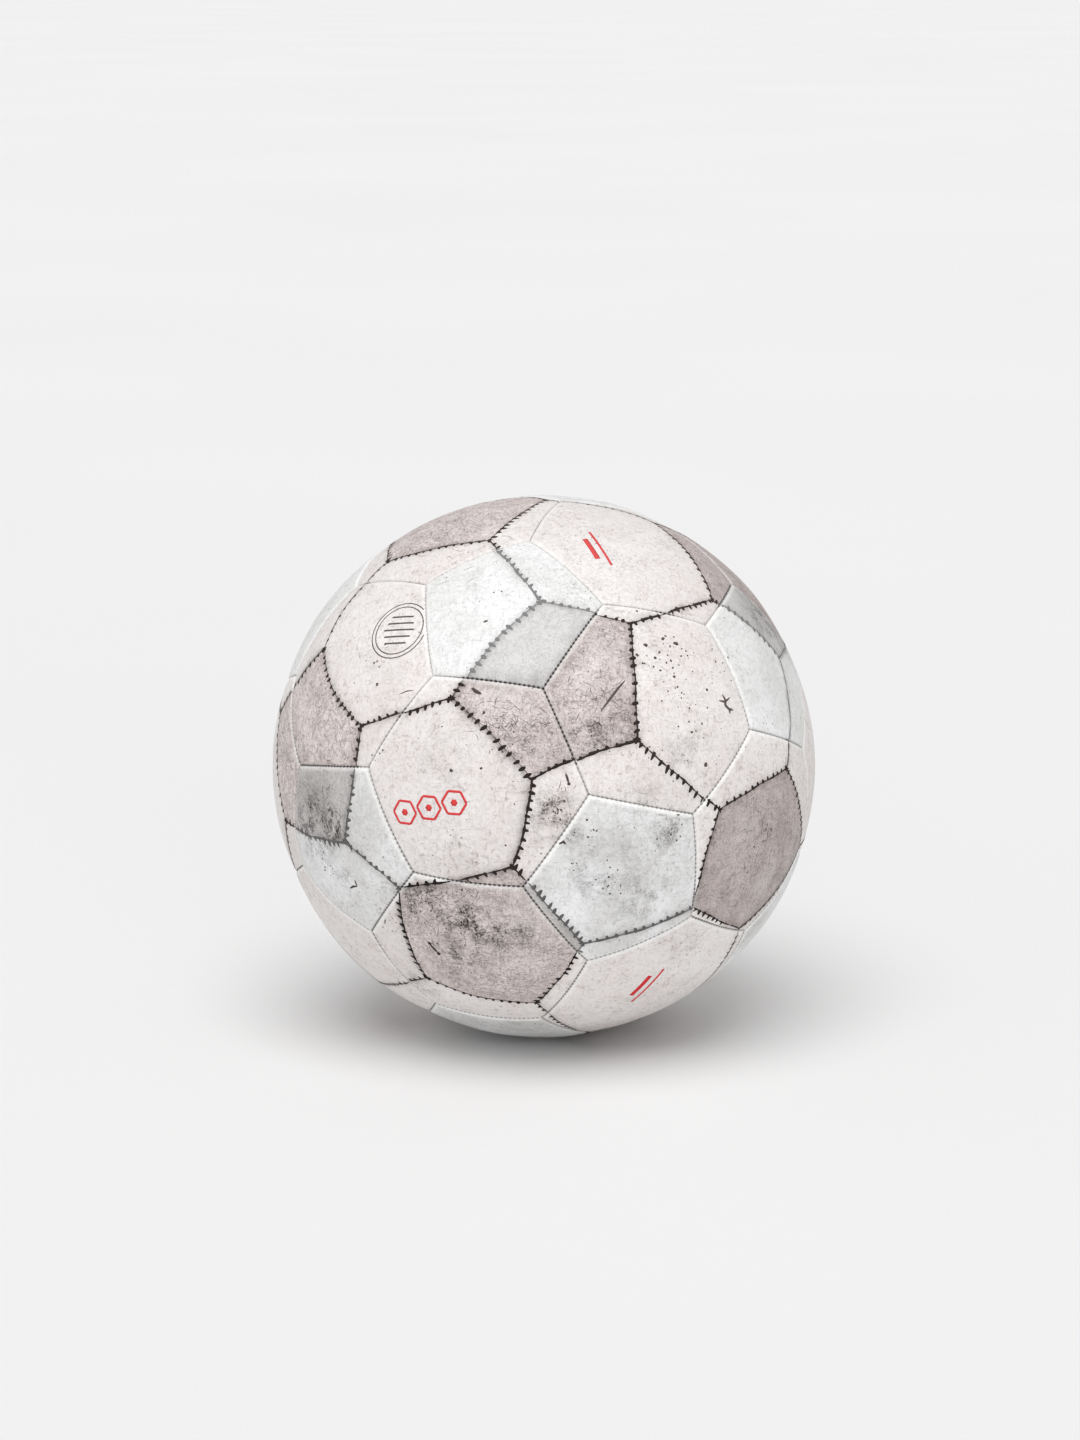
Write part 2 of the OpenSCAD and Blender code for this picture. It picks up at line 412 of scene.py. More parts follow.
# How some printed seams look, going from the first corner to the second: the side of the ticks
# on the first half and on the second, where 1 is left, -1 right and 0 both, then the weight of
# the line and of the ticks, how far the seam bends to the left in mm, and for some how strong
# the soft dark halo is on its left and on its right
SEAM_LOOKS = {
    (4, 9, 9, 4): (1, 1, 1.35, 1.1, 1.2, 0, 1), (4, 8, 4, 2): (0, 0, 0.95, 0.85, 0.7, 0.9, 0),
    (4, 8, 8, 4): (-1, -1, 0.95, 1.25, -0.7, 0.2, 0.2),
    (4, 8, 4, 9): (-1, -1, 1.45, 0.7, -1.5, 0.3, 0.8), (4, 9, 4, 10): (0, 0, 0.3, 1.05, -1.0),
    (4, 10, 10, 4): (1, -1, 1.0, 0.9, 0.6), (4, 6, 4, 10): (0, 0, 0.5, 1.05, -1.6),
    (10, 4, 10, 9): (-1, 1, 1.0, 1.0, 2.0, 0.2, 0.9), (10, 4, 10, 6): (0, 0, 0.5, 0.85, 2.4),
    (9, 10, 10, 9): (-1, -1, 1.1, 0.8, -1.2), (9, 10, 9, 4): (1, -1, 1.1, 0.85, -0.2, 0.6, 0.9),
    (9, 4, 9, 8): (1, 1, 0.9, 1.3, 0.7, 0.1, 0.3), (8, 9, 9, 8): (-1, -1, 1.4, 0.95, 0.0, 0.2, 0.9),
    (8, 9, 8, 4): (1, 1, 0.9, 0.7, 2.2, 0, 0.9), (8, 2, 8, 4): (-1, -1, 0.9, 0.85, -1.4),
    (8, 9, 8, 3): (-1, -1, 0.85, 0.9, 0.0), (9, 10, 9, 11): (-1, -1, 0.95, 1.0, -1.6),
    (4, 6, 4, 2): (1, 1, 0.7, 0.75, -0.4), (2, 4, 4, 2): (0, 0, 1.3, 0.85, 0.8),
    (4, 6, 6, 4): (-1, -1, 1.1, 1.0, 0.0), (9, 8, 9, 3): (1, 1, 0.8, 0.8, -1.5),
    (9, 11, 9, 3): (-1, -1, 0.8, 0.8, -1.2), (6, 10, 10, 6): (1, 1, 1.0, 0.7, -2.4),
    (6, 10, 6, 4): (-1, -1, 1.1, 0.8, -2.0), (6, 2, 6, 4): (1, 1, 0.9, 1.0, 1.3),
    (2, 4, 2, 6): (0, 0, 1.0, 0.9, -1.4), (2, 8, 8, 2): (0, 0, 1.2, 0.35, 0.7),
}
# How dark some printed pieces are, from -1 to 1
TONES = {2: 0.6, 4: -0.45, 6: -1.0, 8: 0.9, 9: -0.4, 10: -1.0}
HALO_CHOICES = (0.0, 0.35, 1.0)  # how strong the halo beside any other seam may be
HALO_CHANCES = (0.4, 0.35, 0.25)
HALO_W = 1.5  # and how wide
DIRT_LOW = 0.45  # dirt in the seams at half height
DIRT_RISE = -0.9  # how much more at the top
DIRT_MOST = 0.65
SOIL_INSIDE = 0.8  # how soiled a sewn seam is at the border of a printed pentagon
SOIL_BESIDE = 1.6  # and right at a printed seam, where 1 is all black
SOIL_REACH = 2.0  # distance over which that falls by 1


def small_turn():
    """A random slight turn, as one panel's print sits slightly off its neighbours'."""
    angle = math.radians(PRINT_SLIP) * RNG.uniform(0.3, 1)
    return np.array(Matrix.Rotation(angle, 3, Vector(RNG.normal(size=3)).normalized()))


class Artwork:
    """The printed seams as rows of points, with the cells beside them."""

    def __init__(self):
        self.net = Net(PRINT_TURN)
        self.corners = {}
        for key, corner in self.net.corners.items():
            right, up = around(corner)
            x, y = CORNER_NUDGES.get(key, RNG.uniform(-CORNER_JITTER, CORNER_JITTER, 2))
            self.corners[key] = unit(corner + (x * right + y * up) / BALL_R)
        self.seams = [self.seam(*edge) for edge in self.net.edges()]
        self.points = np.vstack([s["points"] for s in self.seams])
        self.lefts = np.vstack([s["lefts"] for s in self.seams])
        self.cells = np.repeat([s["cells"] for s in self.seams], PRINT_STEPS, 0)
        self.halos = np.repeat([s["halos"] for s in self.seams], PRINT_STEPS, 0)
        self.seam_tree = self.tree_of(range(len(self.points)))
        self.border_tree = self.tree_of(np.flatnonzero(self.cells.min(1) < PENTAGONS))
        self.tones = RNG.uniform(-1, 1, len(self.net.cells))
        self.tones[list(TONES)] = list(TONES.values())

    def seam(self, start, end, one, other):
        """The seam between two corners: its points, how it looks, and the cells on its two sides."""
        a, b = self.corners[start], self.corners[end]
        looks = (*RNG.choice([1, -1, 0], 2), *RNG.uniform(*PRINT_WEIGHTS, 2), RNG.uniform(-BOW, BOW))
        looks = SEAM_LOOKS.get(start + end, looks)
        t = np.linspace(0, 1, PRINT_STEPS)[:, None]
        left = unit(np.cross(a, b))
        bow = looks[4] * 4 * t * (1 - t)
        waves = np.sin(t * RNG.uniform(*WOBBLE_RATES) + RNG.uniform(0, 6))
        wobble = WOBBLE * waves * np.sin(math.pi * t)
        points = unit((1 - t) * a + t * b + (bow + wobble) / BALL_R * left)
        tangents = unit(np.gradient(points, axis=0))
        cells = sorted((one, other), key=lambda cell: -self.net.cells[cell] @ left)
        halos = RNG.choice(HALO_CHOICES, 2, p=HALO_CHANCES)
        seam = {"points": points, "tangents": tangents, "lefts": unit(np.cross(points, tangents)),
                "cells": cells, "halos": looks[5:] or halos, "looks": looks[:5], "shift": RNG.uniform(0, 6)}
        seam["ticks"] = plan_ticks(seam)
        return seam

    def tree_of(self, numbers):
        tree = kdtree.KDTree(len(numbers))
        for n in numbers:
            tree.insert(self.points[n], int(n))
        tree.balance()
        return tree

    def look_up(self, tree, directions):
        """The nearest printed seam's point to each direction, how far off it is, and the side."""
        nearest = np.array([tree.find(d)[1] for d in directions])
        gap = directions - self.points[nearest]
        sideways = (gap * self.lefts[nearest]).sum(-1)
        whole = np.linalg.norm(gap, axis=-1)
        step = 2 * HALF_EDGE / PRINT_STEPS
        beside = whole ** 2 - sideways ** 2 < step ** 2
        return nearest, np.where(beside, np.abs(sideways), whole) * BALL_R, (sideways < 0).astype(int)

    def describe(self, directions):
        """What the panels' material needs to know of the print at each direction."""
        nearest, distance, side = self.look_up(self.seam_tree, directions)
        border, border_distance, border_side = self.look_up(self.border_tree, directions)
        inside = self.cells[border, border_side] < PENTAGONS
        return {
            "print_seam": distance,
            "print_zone": np.where(inside, border_distance, -border_distance),
            "print_tone": self.tones[self.cells[nearest, side]],
            "print_halo": self.halos[nearest, side] * np.exp(-distance / HALO_W),
        }


def soil_of(directions, look):
    """How dirty a sewn seam is: most in the printed pentagons, near the print and low on the ball."""
    dirt = np.clip(DIRT_LOW + DIRT_RISE * directions[:, 2], 0, DIRT_MOST)
    inside = np.clip(SOIL_INSIDE + look["print_zone"] / SOIL_REACH, 0, 1)
    beside = np.clip(SOIL_BESIDE - look["print_seam"] / SOIL_REACH, 0, 1)
    return np.maximum(dirt, np.maximum(inside, beside))


# ---- strokes of ink
LINE_W = 0.85  # width of a printed seam's line
LINE_LEAST = 0.3  # least share of that where the line thins out
# The waves in a line's width: how high, how quick, and how far the seam's own shift moves them
LINE_WAVES = ((0.3, 21, 1), (0.25, 53, 2))
TICK_START = (1.0, 2.5)  # how far from its corner a seam's first tick is
TICK_END = 1.0  # least distance from its last tick to its other corner
TICK_PITCH = 3.4
TICK_GAPS = (0.82, 1.2)  # shares of that pitch from one tick to the next
TICK_W = 1.95
TICK_WIDTHS = (0.8, 1.15)
TICK_L = 1.75  # how far a tick reaches from the line
TICK_LENGTHS = (0.75, 1.2)
TICK_SLANT = 0.4  # most that a seam's ticks lean
TICK_LEAN = 0.15  # and that one tick leans more or less than the others
TICK_BACK = 0.45  # share of its reach that a tick has on the other side of the line
TICK_BACK_CHANCE = 0.2  # and how many ticks go on there
TICK_BOTH = (0.3, 0.8)  # the same share on a seam with ticks on both sides
# Places along a tick, in shares of its reach, and the share of its width there
TICK_ALONG = np.array([-0.3, -0.12, 0.2, 0.5, 0.8, 0.95, 1.0])
TICK_SHAPE = np.array([0.3, 0.8, 1.0, 0.85, 0.6, 0.4, 0.15])
PRINT_MARGIN = 0.42  # how close to a sewn seam the print starts
INK_LIFT = 0.06  # height of the ink's ridge over the cover
TICK_LIFT = 1.3 * INK_LIFT
KNOT_LIFT = 1.5 * INK_LIFT
INK_EDGE = -0.02  # height of a stroke's edges over the cover
INK_ROOT = -0.1  # and of its underside
KNOT_STROKES = 6
KNOT_REACH = (-0.7, 1.7)  # how far each reaches behind and beyond its corner
# Widths along a knot's stroke
KNOT_SHAPE = np.array([0.4, 1.2, 1.4, 1.1, 0.7, 0.15])


def plan_ticks(seam):
    """Where a printed seam's ticks stand: share of its length, reach (left is positive), slant."""
    first, second, _, weight, _ = seam["looks"]
    slant = RNG.uniform(-TICK_SLANT, TICK_SLANT)
    length = BALL_R * np.linalg.norm(np.diff(seam["points"], axis=0), axis=1).sum()
    ticks = []
    place = RNG.uniform(*TICK_START)
    while place < length - TICK_END:
        side = first if place < length / 2 else second
        reach = TICK_L * weight * RNG.uniform(*TICK_LENGTHS)
        lean = RNG.uniform(-TICK_LEAN, TICK_LEAN)
        ticks.append((place / length, (side or 1) * reach, slant + lean))
        if side == 0:
            ticks.append((place / length, -reach * RNG.uniform(*TICK_BOTH), -slant))
        elif RNG.random() < TICK_BACK_CHANCE:
            ticks.append((place / length, -side * reach * TICK_BACK, -slant))
        place += TICK_PITCH * RNG.uniform(*TICK_GAPS)
    return ticks


class Ink:
    """Closed, very thin strokes and dots that lie on the panels."""

    def __init__(self, panels):
        self.panels = panels
        self.points = []
        self.faces = []
        self.fades = []
        self.count = 0

    def panel_at(self, direction):
        """The panel that a direction passes through."""
        return max(self.panels, key=lambda p: p.seam_distance(direction[None])[0])

    def add(self, panel, points, faces):
        self.points.append(points)
        self.faces += [[v + self.count for v in face] for face in faces]
        self.fades.append(np.full(len(points), panel.fade))
        self.count += len(points)

    def stroke(self, panel, path, widths, lift=INK_LIFT):
        """A stroke with a low ridge down its middle, unless it runs off the panel."""
        if panel.seam_distance(path).min() < PRINT_MARGIN:
            return
        half = unit(np.cross(path, np.gradient(path, axis=0)))
        half *= (np.asarray(widths) / 2 / BALL_R)[:, None]
        left, right = unit(path + half), unit(path - half)
        height = panel.height(path)
        points = np.stack([left * (panel.height(left) + INK_EDGE)[:, None],
                           path * (height + lift)[:, None],
                           right * (panel.height(right) + INK_EDGE)[:, None],
                           path * (height + INK_ROOT)[:, None]], 1).reshape(-1, 3)
        last = 4 * (len(path) - 1)
        faces = [[k + a, k + b, k + b + 4, k + a + 4] for k in range(0, last, 4)
                 for a, b in ((0, 1), (1, 2), (2, 3), (3, 0))]
        faces += [[0, 3, 2, 1], [last, last + 1, last + 2, last + 3]]
        self.add(panel, points, faces)

    def dot(self, centre, radius, corners=8, uneven=0.3):
        """A filled spot, round or uneven, unless it runs off its panel."""
        panel = self.panel_at(centre)
        if panel.seam_distance(centre[None])[0] < radius + PRINT_MARGIN:
            return
        radii = radius * (1 + uneven * RNG.uniform(-1, 1, (corners, 1))) / BALL_R
        rim = unit(centre + radii * heading(centre, turns(corners)[:, None]))
        height = panel.height(centre[None])[0]
        points = np.vstack([rim * (panel.height(rim) + INK_EDGE)[:, None],
                            centre * (height + INK_LIFT), centre * (height + INK_ROOT)])
        faces = []
        for i in range(corners):
            after = (i + 1) % corners
            faces += [[i, after, corners], [after, i, corners + 1]]
        self.add(panel, points, faces)

    def outline(self, centre, radius, width, sides, steps=6):
        """A closed ring: a circle, or a polygon when it has few sides."""
        panel = self.panel_at(centre)
        corners = heading(centre, turns(sides, 1)[:, None])
        part = np.linspace(0, 1, steps)[:, None]
        for start, end in zip(corners, corners[1:]):
            path = unit(centre + radius / BALL_R * ((1 - part) * start + part * end))
            self.stroke(panel, path, np.full(steps, width))

    def piece(self, name, material):
        piece = add_piece(name, np.vstack(self.points), self.faces, material)
        add_attributes(piece, fade=np.concatenate(self.fades))
        return piece


def runs(mask):
    """The stretches of a row of points where mask holds, as slices of three points or more."""
    ends = np.flatnonzero(np.diff(np.concatenate([[0], mask.astype(int), [0]])))
    return [slice(a, b) for a, b in ends.reshape(-1, 2) if b - a >= 3]


def print_seam(ink, panel, seam):
    """One printed seam's line and ticks, where they lie on one panel."""
    points = seam["points"] @ panel.slip.T
    on_panel = panel.seam_distance(points) > PRINT_MARGIN
    weight = seam["looks"][2]
    t = np.linspace(0, 1, PRINT_STEPS)
    uneven = 1 + sum(high * np.sin(t * rate + moved * seam["shift"]) for high, rate, moved in LINE_WAVES)
    widths = LINE_W * np.maximum(weight * uneven, LINE_LEAST)
    for run in runs(on_panel):
        ink.stroke(panel, points[run], widths[run])
    for place, reach, slant in seam["ticks"]:
        n = int(place * (PRINT_STEPS - 1))
        if on_panel[n]:
            across = seam["lefts"][n] * np.sign(reach) + slant * seam["tangents"][n]
            path = unit(points[n] + TICK_ALONG[:, None] * abs(reach) / BALL_R * (across @ panel.slip.T))
            ink.stroke(panel, path, TICK_W * TICK_SHAPE * RNG.uniform(*TICK_WIDTHS), TICK_LIFT)


def print_knot(ink, panel, corner):
    """The blot where three printed seams meet."""
    corner = panel.slip @ corner
    along = np.linspace(*KNOT_REACH, len(KNOT_SHAPE))[:, None]
    for angle in RNG.uniform(0, 2 * math.pi, KNOT_STROKES):
        path = unit(corner + along * heading(corner, angle) / BALL_R)
        ink.stroke(panel, path, KNOT_SHAPE, KNOT_LIFT)


# ---- marks
# Scratches and scuffs: degrees to the right and up at each point, and the width in mm
SCRATCHES = (
    (((12.3, 22.7), (14.6, 25.1), (16.8, 27.2), (18.7, 28.7)), 1.3),
    (((10.9, 20.4), (11.7, 20.3), (12.4, 19.5)), 0.88),
    (((9.2, 19.6), (10.2, 19.9), (10.9, 20.4)), 0.56),
    (((43.1, 23.6), (43.6, 22.4), (43.2, 21.3), (44.1, 20.3), (44.0, 19.5)), 1.7),
    (((41.6, 22.5), (43.3, 22.0), (45.3, 22.7)), 1.2),
    (((43.9, 20.6), (45.3, 20.0)), 1.1),
    (((-16.4, 27.4), (-15.4, 26.7), (-14.0, 26.2)), 1.92),
    (((-16.4, 41.7), (-15.2, 42.1)), 1.28),
    (((-43.9, -15.3), (-43.6, -16.7)), 1.12),
    (((-46.2, -17.6), (-44.8, -16.9), (-43.6, -16.7)), 1.2),
    (((-27.4, -27.9), (-26.6, -29.3), (-25.4, -30.9)), 1.28),
    (((4.4, 10.6), (4.7, 9.6), (5.0, 8.5)), 1.28),
    (((3.0, -3.7), (3.8, -3.1), (4.3, -3.7)), 1.44),
    (((-33.9, 24.6), (-32.2, 25.5), (-30.4, 25.9)), 0.64),
    (((-45.0, -6.0), (-43.6, -7.4), (-43.0, -9.0)), 1.12),
    (((-47.5, -4.6), (-46.4, -6.6)), 0.96),
)
RANDOM_SCRATCHES = 26  # of which those at the back are kept
RANDOM_SCRATCH_STEPS = 4
SCRATCH_STEPS = (0.6, 2.4)  # about how far each step goes
SCRATCH_WIDTHS = (0.3, 0.6)
# Groups of specks: degrees to the right and up, spread in mm, number, and largest radius in mm
SPECKS = (
    (30, 27, 9, 26, 0.6), (26, 32, 5, 14, 0.7), (33, 35, 5, 22, 0.7), (36, 31, 6, 14, 0.6),
    (22, 12, 5, 10, 0.5), (36, 20, 9, 20, 0.55), (26, -2, 6, 26, 0.7), (9, -2, 5, 16, 0.6),
    (15, -12, 8, 26, 0.7), (7, -8, 4, 12, 0.6), (2.4, 3, 4, 46, 0.6), (-19, -2, 6, 14, 0.5),
    (-9, 15, 6, 12, 0.7), (-36, 13, 4, 5, 0.8), (-44, 31, 5, 9, 0.7), (47, 30, 8, 24, 0.6),
    (12, 17, 5, 30, 0.5), (20, 66, 14, 34, 0.5), (56, 15, 6, 14, 0.5), (52, -8, 9, 20, 0.6),
    (-14, 48, 6, 8, 0.7), (-52, -14, 8, 18, 0.6), (-38, -24, 7, 18, 0.6), (-33, -8, 6, 8, 0.5),
    (-17, -22, 9, 40, 0.55), (-24, -18, 7, 30, 0.5), (-18, -31, 8, 20, 0.6), (38, -32, 8, 12, 0.6),
)
SPECK_GROUPS = 46  # more, of which those at the back are kept: spread, number and largest radius
GROUP_SPREADS = (4, 12)
GROUP_COUNTS = (6, 26)
GROUP_SPECKS = (0.3, 0.5)
SCATTERED_SPECKS = 500
SPECK_RADII = (0.15, 0.45)
SPECK_SIZES = (0.3, 1)  # squared, a speck's share of its group's largest radius
# Groups of fine hair-like creases: degrees to the right and up, spread in mm and number
CREASES = (
    (-9, 21, 9, 46), (-2, 19, 8, 30), (11, 27, 10, 34), (15, 22, 8, 34), (3, 4, 6, 14), (-18, -23, 12, 30),
    (-52, 12, 12, 24), (50, -6, 12, 22), (-30, 62, 16, 18), (-52, 0, 7, 16), (22, 5, 9, 8),
)
BACK_CREASES = 14  # more groups, of which those at the back are kept
BACK_CREASE = (14, 24)  # and each one's spread and number
CREASE_REACHES = (0.9, 2.6)
CREASE_WIDTHS = (0.2, 0.42)
CREASE_BEND = 0.35

# Round blots: degrees to the right and up, radius in mm
BLOBS = (
    (-27.2, -28.1, 1.1), (-25.5, -30.8, 1.1), (5.0, 8.4, 0.8), (44.2, 20.1, 0.8), (31.0, 28.6, 0.8),
    (-13, 22.4, 0.8), (-19, 10.5, 0.9), (-7.6, -4, 0.6), (34.6, 35.6, 1.4), (31.5, 37, 1.0), (26, 36, 1.1),
    (23, 34, 1.0), (27.5, 33, 0.8), (35, 10.2, 1.3), (31.5, 32, 0.8), (32.5, 17, 0.7), (39, 25, 0.8),
    (-40.5, 26, 0.9), (27, 44, 0.6),
)

RED_MARK = (-23.6, 2.7, 15)  # a row of small hexagons: right, up and tilt in degrees
RED_MARK_R = 5.0
RED_MARK_DOT = 0.42 * RED_MARK_R
RED_MARK_W = 1.3
RED_MARK_STEPS = (-10.8, 0, 10.8)
RED_PAIRS = ((23, 62, 93), (28.5, -41.5, 72))  # pairs of bars: right, up and tilt in degrees
# Each bar's reach both ways, how far it lies beside the pair's middle, and its width
RED_BARS = ((11, -2.2, 1.5), (6.5, 1.8, 3.0))
STAMP = (-40.6, 38.2)  # two thin rings round a few plain lines
STAMP_RINGS = (10.75, 12.5)
STAMP_RING_W = 0.65
STAMP_RING_SIDES = 36
STAMP_TILT = 0.2
STAMP_LINES = ((5, -6), (6, -3), (7, 0), (6, 3), (5, 6))  # each line's reach, and its place
STAMP_LINE_W = 1.0
SCRATCH_POINTS = 6  # points of its path for each point that is given
SCRATCH_END = 0.12  # how pointed a scratch's ends are, and a crease's
CREASE_END = 0.15
SCRATCH_BODY = 0.6  # under 1 for a stroke that is wide along most of its length
CREASE_POINTS = 7
BAR_POINTS = 14


def pointed(count, end):
    """Shares of a stroke's width that fall away to both of its ends."""
    return np.sin(np.linspace(end, math.pi - end, count))


def scratch(ink, places, width):
    """A scratch with pointed ends, through directions that lie on one panel."""
    t = np.linspace(0, len(places) - 1, SCRATCH_POINTS * len(places))
    low = np.minimum(t.astype(int), len(places) - 2)
    path = unit(places[low] + (t - low)[:, None] * (places[low + 1] - places[low]))
    widths = width * pointed(len(path), SCRATCH_END) ** SCRATCH_BODY
    ink.stroke(ink.panel_at(places[0]), path, widths)


def draw_wear(ink):
    """Scratches and specks."""
    for places, width in SCRATCHES:
        scratch(ink, place_at(places), width)
    for place, radius in patches(BLOBS):
        ink.dot(place, radius)
    for start in behind(RANDOM_SCRATCHES):
        steps = RNG.normal(size=(RANDOM_SCRATCH_STEPS, 3))
        steps = np.cumsum(steps * RNG.uniform(*SCRATCH_STEPS) / BALL_R, 0)
        scratch(ink, unit(start + steps), RNG.uniform(*SCRATCH_WIDTHS))
    groups = patches(SPECKS)
    groups += [(centre, RNG.uniform(*GROUP_SPREADS), RNG.integers(*GROUP_COUNTS), RNG.uniform(*GROUP_SPECKS))
               for centre in behind(SPECK_GROUPS)]
    for centre, radius, count, largest in groups:
        for place in scattered(centre, radius, count):
            ink.dot(place, largest * RNG.uniform(*SPECK_SIZES) ** 2)
    for place in spread(SCATTERED_SPECKS):
        ink.dot(place, RNG.uniform(*SPECK_RADII))


def draw_creases(ink):
    """Short curved creases, thin as hairs."""
    t = np.linspace(-1, 1, CREASE_POINTS)[:, None]
    shape = pointed(CREASE_POINTS, CREASE_END)
    for group in patches(CREASES) + [(centre, *BACK_CREASE) for centre in behind(BACK_CREASES)]:
        for middle in scattered(*group):
            along = heading(middle, RNG.uniform(0, math.pi))
            bend = RNG.uniform(-CREASE_BEND, CREASE_BEND) * (1 - t ** 2) * np.cross(middle, along)
            path = unit(middle + RNG.uniform(*CREASE_REACHES) / BALL_R * (t * along + bend))
            ink.stroke(ink.panel_at(middle), path, RNG.uniform(*CREASE_WIDTHS) * shape)


def draw_bar(ink, centre, tilt, reach, beside, width):
    """A straight bar that reaches equally far both ways along a tilted line, beside its centre."""
    places = np.linspace(-reach, reach, BAR_POINTS)[:, None] * heading(centre, tilt)
    places += beside * heading(centre, tilt + math.pi / 2)
    ink.stroke(ink.panel_at(centre), unit(centre + places / BALL_R), np.full(BAR_POINTS, width))


def draw_red_marks(ink):
    """A row of hexagons with a spot in each, and pairs of a long and a short bar."""
    (centre, tilt), = patches([RED_MARK])
    for step in RED_MARK_STEPS:
        place = unit(centre + step / BALL_R * heading(centre, math.radians(tilt)))
        ink.outline(place, RED_MARK_R, RED_MARK_W, 6)
        ink.dot(place, RED_MARK_DOT, 6, 0.0)
    for centre, tilt in patches(RED_PAIRS):
        for bar in RED_BARS:
            draw_bar(ink, centre, math.radians(tilt), *bar)


def draw_stamp(ink):
    """Two thin rings round a few lines."""
    centre = place_at(STAMP)
    for radius in STAMP_RINGS:
        ink.outline(centre, radius, STAMP_RING_W, STAMP_RING_SIDES)
    for reach, beside in STAMP_LINES:
        draw_bar(ink, centre, STAMP_TILT, reach, beside, STAMP_LINE_W)


# Dark stains in the cover: degrees to the right and up, radius in mm, strength
STAINS = (
    (-16.5, -22.5, 11, 1.7), (-20, -30, 9, 1.2), (-25, -16, 9, 1.5), (-10, -24, 8, 1.3), (-29, -19, 8, 1.2),
    (-5, -24, 6, 0.9), (-22, -35, 6, 0.8), (-56, -5, 13, 1.6), (-49, -4, 9, 1.7), (9, 18, 7, 1.2),
    (-47, -14, 8, 0.35), (2, 2, 8, 1.4), (4, 0, 6, 1.5), (78, 36, 12, 1.2), (-38, -42, 9, 0.6),
    (26, -2, 9, 0.8), (12, -10, 13, 0.6), (20, 4, 8, 0.5), (22, -17, 12, 0.6), (34, -30, 8, 0.3),
    (-45, 30, 6, 0.2), (-5, 14, 7, 0.8), (18, 20, 6, 0.5), (49, -3, 7, 0.4), (30, 13, 7, 0.7),
    (-17, -4, 9, 0.25), (-21, 14, 10, 0.25),
)
# Smooth grey shade, mostly along the seams of one faded piece
SHADES = (
    (-16, 29.2, 3.5, 0.6), (-12, 29.2, 3.5, 0.8), (-7, 29, 3.8, 0.9), (-2, 28.8, 4.2, 1),
    (2, 29.6, 4.5, 1), (5, 33, 4, 0.9), (8, 38, 3.5, 0.7), (10, 41, 3, 0.5), (76, 38, 12, 0.8),
    (84, 32, 12, 0.8), (-54, 0, 12, 0.8), (2.5, 1, 8, 0.5), (15, -7, 14, 0.25), (26, -3, 9, 0.3),
    (63, 24, 9, 0.3), (50, -4, 9, 0.2), (-22, 14, 11, 0.2), (-37, 27, 8, 0.25), (22, 6, 8, 0.3),
    (15, 21, 9, 0.35),
)
BACK_STAINS = 16  # more, of which those at the back are kept: their radii and strengths
BACK_STAIN_RADII = (6, 14)
BACK_STAIN_DEPTHS = (0.4, 0.9)
# Places where the print is rubbed pale
RUBBED = (
    (-9, 27, 9, 0.55), (13, 36, 10, 0.25), (9, 30, 6, 0.5), (-45, 22, 12, 0.3), (-18, 68, 12, 0.35),
    (46, -5, 9, 0.35), (55, -18, 8, 0.35), (-3, -20, 9, 0.3), (-4, -32, 8, 0.25),
)


def patches(rows):
    """Rows whose first two numbers, degrees to the right and up, become a direction."""
    return [(place_at(row[:2]), *row[2:]) for row in rows]


def strongest(places, directions):
    """How strongly the soft round places show at each direction."""
    strength = np.zeros(len(directions))
    for centre, radius, most in places:
        away = BALL_R * np.linalg.norm(directions - centre, axis=1)
        strength = np.maximum(strength, most * np.exp(-(away / radius) ** 2))
    return strength


# ---- materials
def rgb(red, green, blue):
    """A colour as it looks on a screen, 0 to 255, as the linear colour that a shader takes."""
    values = np.array([red, green, blue]) / 255
    linear = np.where(values <= 0.04045, values / 12.92, ((values + 0.055) / 1.055) ** 2.4)
    return (*linear.tolist(), 1.0)


